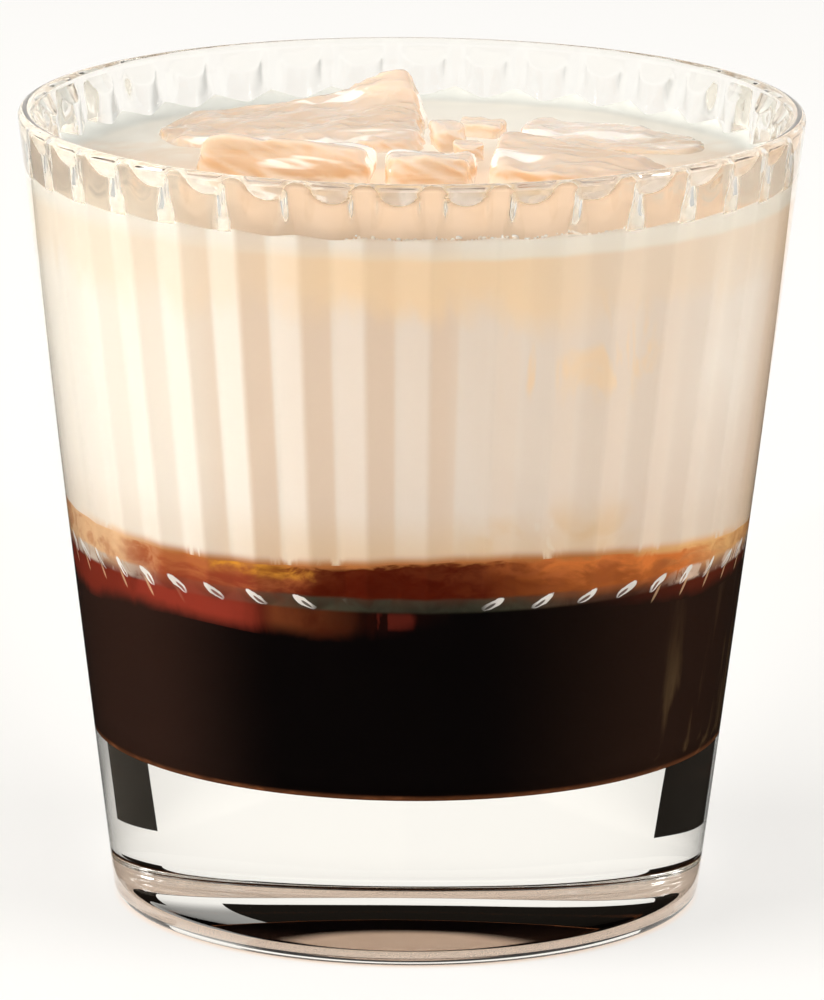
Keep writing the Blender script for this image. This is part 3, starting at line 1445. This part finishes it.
@dataclass
class Drink:
    """The coffee, the blended layer and the cream, one above the other."""

    shape: TumblerShape
    levels: Levels
    effects: Effects

    def cream_edge(self, x: np.ndarray, y: np.ndarray) -> np.ndarray:
        """Height of the border between the blended layer and the cream."""
        return self.levels.cream_foot.height(self.shape, x, y)

    def blend_edge(self, x: np.ndarray, y: np.ndarray) -> np.ndarray:
        """Height of the border between the coffee and the blended layer."""
        return self.levels.blend_foot.height(self.shape, x, y)

    def floor(self, x: np.ndarray, y: np.ndarray) -> np.ndarray:
        """Height of the coffee's foot, pressed into the glass's floor."""
        return np.full_like(x, self.shape.floor_height - PouredLayer.overlap)

    def surface(self, x: np.ndarray, y: np.ndarray) -> np.ndarray:
        """Height of the cream's surface: still, rippled, and drawn up the wall.

        Args:
            x: Places to the right.
            y: Places to the back.

        Returns:
            The heights.
        """
        turn = np.arctan2(y, x)
        out = np.hypot(x, y)
        level = np.full_like(x, self.levels.surface)
        wall = self.shape.wetted_radius(turn, level)
        s = self.levels
        back = np.clip(0.5 + y / s.turnover, 0.0, 1.0)
        climb = (s.front_share + (1.0 - s.front_share) * back) * (
            s.meniscus + s.groove_rise * self.shape.groove(turn))
        rise = climb * np.exp(-np.maximum(wall - out, 0.0) / s.meniscus_width)
        ripple = np.sin(x * 420 + 2.0 * np.sin(y * 260)) * np.sin(y * 380 + 1.7 * np.sin(x * 210))
        return level + rise + s.ripple * ripple

    def build(self) -> None:
        """Makes the three layers."""
        coffee = PouredLayer(self.shape, "coffee_layer", "coffee", self.floor, self.blend_edge,
                             rounded_foot=True)
        coffee.build(CoffeeFinish().material(self.effects), Slot.COFFEE)
        middle = PouredLayer(self.shape, "mingled_layer", "blended_layer", self.blend_edge,
                             self.cream_edge, side_rows=40)
        middle.build(BlendFinish().material(self.effects), Slot.BLEND)
        cream = PouredLayer(self.shape, "cream_layer", "cream", self.cream_edge, self.surface,
                            top_rows=56, crowding=1.7)
        cream.build(CreamFinish().material(self.effects), Slot.CREAM)


@dataclass
class Bubbles:
    """Small bubbles that cling to the cream's edge at the front, strung along it by a node tree."""

    drink: Drink
    turns: tuple[float, float] = (math.radians(-100.0), math.radians(-52.0))
    count: int = 84
    radius: float = 0.26 * MM
    spread: float = 1.5 * MM
    seed: int = 5
    guide_points: int = 240

    def inputs(self) -> dict[str, float]:
        """The node tree's number inputs by name."""
        return {"Count": self.count, "Radius": self.radius, "Spread": self.spread, "Seed": self.seed}

    def guide(self) -> Mesh:
        """The line along the cream's edge that the bubbles follow.

        Returns:
            A mesh of one open line.
        """
        turn = np.linspace(*self.turns, self.guide_points)
        level = np.full_like(turn, self.drink.levels.surface)
        out = self.drink.shape.wetted_radius(turn, level) - self.radius
        x, y = out * np.cos(turn), out * np.sin(turn)
        points = np.stack([x, y, self.drink.surface(x, y)], axis=-1)
        mesh = bpy.data.meshes.new("bubble_line")
        mesh.from_pydata(points.tolist(), [(i, i + 1) for i in range(len(points) - 1)], [])
        return mesh

    def tree(self, material: Material) -> Tree:
        """The node tree that strings the bubbles along the line.

        Args:
            material: What they are made of.

        Returns:
            The tree, with the named inputs Count, Radius, Spread and Seed.
        """
        tree, given = start_tree("string_bubbles", self.inputs())
        line = add(tree, "GeometryNodeMeshToCurve", {"Mesh": given["Geometry"]})
        even = add(tree, "GeometryNodeResampleCurve", {"Curve": line.outputs[0], "Count": given["Count"]})
        points = add(tree, "GeometryNodeCurveToPoints", {"Curve": even.outputs[0]}, mode="EVALUATED")
        place = add(tree, "GeometryNodeInputPosition").outputs[0]
        flat = add(tree, "ShaderNodeVectorMath", {0: place, 1: (-1.0, -1.0, 0.0)}, operation="MULTIPLY")
        inwards = add(tree, "ShaderNodeVectorMath", {0: flat.outputs[0]}, operation="NORMALIZE")
        share = add(tree, "FunctionNodeRandomValue", {"Seed": given["Seed"]}, data_type="FLOAT").outputs[1]
        reach = times(tree, calc(tree, "POWER", share, 3.0), given["Spread"])
        shift = add(tree, "ShaderNodeVectorMath", {0: inwards.outputs[0], "Scale": reach}, operation="SCALE")
        moved = add(tree, "GeometryNodeSetPosition",
                    {"Geometry": points.outputs[0], "Offset": shift.outputs[0]})
        size = add(tree, "FunctionNodeRandomValue", {"Seed": calc(tree, "ADD", given["Seed"], 1)},
                   data_type="FLOAT")
        size = scaled(tree, calc(tree, "POWER", size.outputs[1], 2.0), 0.7, 0.3)
        ball = add(tree, "GeometryNodeMeshIcoSphere", {"Radius": given["Radius"], "Subdivisions": 3})
        placed = add(tree, "GeometryNodeInstanceOnPoints",
                     {"Points": moved.outputs[0], "Instance": ball.outputs[0], "Scale": size})
        end_tree(tree, placed.outputs[0], material)
        return tree

    def build(self, material: Material) -> None:
        """Makes the bubbles and lets them ride on the cream.

        Args:
            material: What they are made of.
        """
        obj = link("bubble_line", self.guide())
        run_tree(obj, self.tree(material), self.inputs())
        dress(plain_copy(obj, "edge_bubbles"), material, Slot.CREAM)


@dataclass
class IcePieces:
    """Every piece of ice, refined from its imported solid."""

    names: tuple[str, ...]
    levels: int = 3
    swell: float = 0.15 * MM
    relief: float = 0.7 * MM
    crease: float = 0.35
    warp: float = 1.3 * MM
    melt_scale: float = 190.0
    warp_scale: float = 130.0
    ridge_scales: tuple[float, float, float, float] = (300.0, 700.0, 500.0, 260.0)
    ridge_share: float = 0.8
    ridge_level: float = 0.2
    sharp: float = math.radians(28.0)
    seed: int = 7

    def refine(self, node: str) -> Object:
        """A finer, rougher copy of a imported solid.

        Args:
            node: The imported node.

        Returns:
            The new object.
        """
        made = bmesh.new()
        made.from_mesh(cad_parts[node].data)
        bmesh.ops.remove_doubles(made, verts=made.verts, dist=0.01 * MM)
        crease = made.edges.layers.float.new("crease_edge")
        for edge in made.edges:
            edge[crease] = self.crease if edge.calc_face_angle(0.0) > self.sharp else 0.0
        mesh = bpy.data.meshes.new(node)
        made.to_mesh(mesh)
        made.free()
        obj = link(node + "_cage", mesh)
        smooth = obj.modifiers.new("smooth", "SUBSURF")
        smooth.levels = smooth.render_levels = self.levels
        obj = plain_copy(obj, node.replace("ice_", "ice_piece_"))
        self.roughen(obj.data)
        return obj

    def roughen(self, mesh: Mesh) -> None:
        """Moves each point along its normal, for melt hollows and fracture ridges.

        Args:
            mesh: The ice's mesh, changed in place.
        """
        count = len(mesh.vertices)
        points, normals = np.empty(count * 3), np.empty(count * 3)
        mesh.vertices.foreach_get("co", points)
        mesh.vertex_normals.foreach_get("vector", normals)
        points, normals = points.reshape(-1, 3), normals.reshape(-1, 3)
        slow = np.array([noise.noise(Vector(p) * self.melt_scale) for p in points])
        wide, slant, deep, high = self.ridge_scales
        ridge = np.array([
            noise.noise(Vector((x * wide + z * slant, y * deep, z * high))) for x, y, z in points])
        move = self.swell + self.relief * (slow + self.ridge_share * (self.ridge_level - np.abs(ridge)))
        bent = np.array([noise.noise_vector(Vector(p) * self.warp_scale) for p in points])
        bent *= (self.warp, self.warp, 0.0)
        mesh.vertices.foreach_set("co", (points + normals * move[:, None] + bent).ravel())
        mesh.update()

    def build(self, coated: Material, clear: Material) -> None:
        """Makes every piece of ice.

        Args:
            coated: What the large pieces are made of.
            clear: What the chips are made of.
        """
        noise.seed_set(self.seed)
        for node in self.names:
            piece = dress(self.refine(node), clear if "chip" in node else coated, Slot.ICE, node)
            piece.visible_shadow = False


@dataclass
class Studio:
    """The pale floor, the soft lights and the camera at the photo's angle."""

    shape: TumblerShape
    distance: float = 1.1297
    elevation: float = 13.294
    roll: float = 0.46
    focal_pixels: float = 9586.9
    long_side: int = 1000
    short_side: int = 824
    centre_x: float = 408.96
    centre_y: float = 501.62
    sensor: float = 36.0
    card_pale: Colour = (0.95, 0.94, 0.92)
    apron_ends: float = 0.12
    apron_curve: int = 5
    sky_distance: float = 1.0

    def camera(self) -> None:
        """Sets the camera up, aimed at the middle of the glass."""
        rise, roll = math.radians(self.elevation), math.radians(self.roll)
        back = Vector((0.0, -math.cos(rise), math.sin(rise)))
        up = Vector((0.0, math.sin(rise), math.cos(rise)))
        side = Vector((1.0, 0.0, 0.0))
        right = side * math.cos(roll) + up * math.sin(roll)
        upward = up * math.cos(roll) - side * math.sin(roll)
        data = bpy.data.cameras.new("photo_camera")
        data.sensor_width = self.sensor
        data.lens = self.focal_pixels * self.sensor / self.long_side
        data.shift_x = (self.short_side / 2 - self.centre_x) / self.long_side
        data.shift_y = (self.centre_y - self.long_side / 2) / self.long_side
        data.clip_start, data.clip_end = 0.05, 50.0
        obj = bpy.data.objects.new("photo_camera", data)
        bpy.context.scene.collection.objects.link(obj)
        pose = Matrix((right, upward, back)).transposed().to_4x4()
        pose.translation = Vector((0.0, 0.0, self.shape.height / 2)) + back * self.distance
        obj.matrix_world = pose
        bpy.context.scene.camera = obj

    def floor(self) -> None:
        """Lays the floor."""
        made = bmesh.new()
        bmesh.ops.create_grid(made, x_segments=8, y_segments=8, size=4.0)
        mesh = bpy.data.meshes.new("pale_floor")
        made.to_mesh(mesh)
        made.free()
        obj = link("pale_floor", mesh)
        mesh.materials.append(FloorFinish().material())

    def softbox(self, name: str, place: tuple, size: tuple, power: float,
                colour: Colour = (1.0, 1.0, 1.0)) -> None:
        """Hangs one rectangular light, aimed at the glass.

        Args:
            name: The light's name.
            place: Where it hangs.
            size: Its width and height.
            power: Its power in watts.
            colour: Its colour.
        """
        data = bpy.data.lights.new(name, "AREA")
        data.shape = "RECTANGLE"
        data.size, data.size_y = size
        data.energy = power
        data.color = colour
        obj = bpy.data.objects.new(name, data)
        bpy.context.scene.collection.objects.link(obj)
        obj.location = place
        obj.visible_glossy = False
        aim = Vector((0.0, 0.0, self.shape.height / 2)) - Vector(place)
        obj.rotation_euler = aim.to_track_quat("-Z", "Y").to_euler()

    def card(self, name: str, rows: list, seen_by: Seen, soft_ends: int = 0,
             shade: Colour = CARD_BLACK) -> None:
        """Sets up a dark card from rows of points, shown only to the light that the glass bends or mirrors.

        Args:
            name: The card's name.
            rows: Rows of points, all of one length.
            seen_by: Which light sees the card.
            soft_ends: Over how many points it pales towards the ends of each row.
            shade: Its colour.
        """
        made = bmesh.new()
        grid = [[made.verts.new(point) for point in row] for row in rows]
        for low, high in zip(grid, grid[1:]):
            for i in range(len(low) - 1):
                made.faces.new((low[i], low[i + 1], high[i + 1], high[i]))
        mesh = bpy.data.meshes.new(name)
        made.to_mesh(mesh)
        made.free()
        count = len(rows[0])
        fade = [0.0] * count
        if soft_ends:
            fade = [max(0.0, 1.0 - min(i, count - 1 - i) / soft_ends) for i in range(count)]
        mesh.attributes.new("fade", "FLOAT", "POINT").data.foreach_set("value", fade * len(rows))
        material, tree, shader = start_material(name, 0.9)
        dark = blend(tree, attribute(tree, "fade"), shade, self.card_pale)
        tree.links.new(dark, shader.inputs["Base Color"])
        shader.inputs["Specular IOR Level"].default_value = 0.0
        mesh.materials.append(material)
        obj = link(name, mesh)
        obj.visible_camera = obj.visible_diffuse = obj.visible_shadow = False
        obj.visible_transmission = seen_by is Seen.THROUGH_GLASS
        obj.visible_glossy = seen_by is Seen.MIRRORED

    def wall_card(self, name: str, start: tuple, end: tuple, height: float) -> None:
        """Stands a dark card close behind the glass, where the sides of the foot show it.

        Args:
            name: The card's name.
            start: Its one end on the floor.
            end: Its other end.
            height: Its height.
        """
        steps = 6
        spots = [[a + (b - a) * i / steps for a, b in zip(start, end)] for i in range(steps + 1)]
        self.card(name, [[(x, y, z) for x, y in spots] for z in (0.001, height)], Seen.THROUGH_GLASS)

    def sky_card(self, name: str, turn: tuple, rise: tuple, shade: Colour = CARD_BLACK) -> None:
        """Hangs a dark card far off, to give the foot its dark side.

        Args:
            name: The card's name.
            turn: Its first and last direction in degrees, 0 to the right and 90 to the back.
            rise: Its lower and upper edge in degrees above the horizon.
            shade: Its colour.
        """
        away = self.sky_distance
        spots = [(away * math.cos(a), away * math.sin(a)) for a in np.radians(np.linspace(*turn, 9))]
        heights = [away * math.tan(a) for a in np.radians(np.linspace(*rise, 4))]
        rows = [[(x, y, z) for x, y in spots] for z in heights]
        self.card(name, rows, Seen.THROUGH_GLASS, shade=shade)

    def apron(self, name: str, near: float, far: float, spread: float) -> None:
        """Lays a dark sheet in front of the glass, that only its mirrored light sees.

        Args:
            name: The sheet's name.
            near: Its inner radius.
            far: Its outer radius.
            spread: How many degrees its far edge reaches round behind the glass on each side.
        """
        rows = []
        for share in np.linspace(0.0, 1.0, 5):
            row = []
            for step in np.linspace(0.0, 1.0, 91):
                inner = -math.pi * (1.0 - step)
                outer = inner + math.radians(spread) * (2.0 * step - 1.0)
                reach = far + (self.apron_ends - far) * abs(2.0 * step - 1.0) ** self.apron_curve
                ends = [(r * math.cos(a), r * math.sin(a)) for r, a in ((near, inner), (reach, outer))]
                row.append((*(a + (b - a) * share for a, b in zip(*ends)), MM))
            rows.append(row)
        self.card(name, rows, Seen.MIRRORED, 2)

    def world(self, horizon: float, zenith: float) -> None:
        """Fills the studio with white light that is stronger from the sides than from above.

        Args:
            horizon: The light's strength near the horizon.
            zenith: Its strength overhead.
        """
        world = bpy.data.worlds.new("studio")
        world.use_nodes = True
        tree = world.node_tree
        coords = add(tree, "ShaderNodeTexCoord").outputs["Generated"]
        rise = parts(tree, coords)["Z"]
        back = tree.nodes["Background"]
        back.inputs["Color"].default_value = (1.0, 0.985, 0.950, 1.0)
        tree.links.new(span(tree, rise, 0.3, 0.6, horizon, zenith), back.inputs["Strength"])
        bpy.context.scene.world = world

    def build(self) -> None:
        """Sets the whole studio up."""
        scene = bpy.context.scene
        self.camera()
        self.floor()
        self.world(horizon=1.0, zenith=0.36)
        box = (1.2, 0.8)
        self.softbox("key_left", (-1.1, -0.5, 0.5), box, power=31.0, colour=(1.0, 0.985, 0.96))
        self.softbox("fill_right", (1.1, -0.5, 0.5), box, power=20.0)
        self.wall_card("card_right", (0.024, 0.068), (0.070, 0.071), height=0.040)
        self.wall_card("card_left", (-0.021, 0.065), (-0.100, 0.065), height=0.040)
        self.sky_card("card_far", turn=(66.0, 152.0), rise=(19.0, 58.0))
        self.sky_card("card_front_left", turn=(-140.0, -90.0), rise=(10.0, 50.0), shade=(0.08, 0.07, 0.06))
        self.sky_card("card_front_right", turn=(-90.0, -40.0), rise=(10.0, 50.0), shade=(0.30, 0.27, 0.23))
        self.apron("apron", near=0.0365, far=0.7, spread=80.0)
        scene.view_settings.view_transform = "Standard"
        scene.cycles.use_denoising = True
        for kind, count in (("max", 20), ("transmission", 16), ("glossy", 8), ("diffuse", 5)):
            setattr(scene.cycles, kind + "_bounces", count)
        LOG.info("studio ready")


def main() -> None:
    """Builds the glass, the drink, the ice and the studio in order."""
    logging.basicConfig(level=logging.INFO, format="%(name)s %(message)s")
    shape = TumblerShape.from_frame()
    effects = Effects.build(shape)
    Tumbler(shape).build(GlassFinish().material(effects))
    drink = Drink(shape, Levels(), effects)
    drink.build()
    Bubbles(drink).build(BubbleFinish().material())
    ice = tuple(sorted(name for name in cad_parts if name.startswith("ice_")))
    chips = IceFinish(pale=(0.64, 0.54, 0.45), peach=(0.60, 0.48, 0.37), orange=(0.56, 0.40, 0.27),
                      clearness=0.2)
    IcePieces(ice).build(IceFinish().material(effects), chips.material(effects))
    Studio(shape).build()


if __name__ == "__main__":
    main()
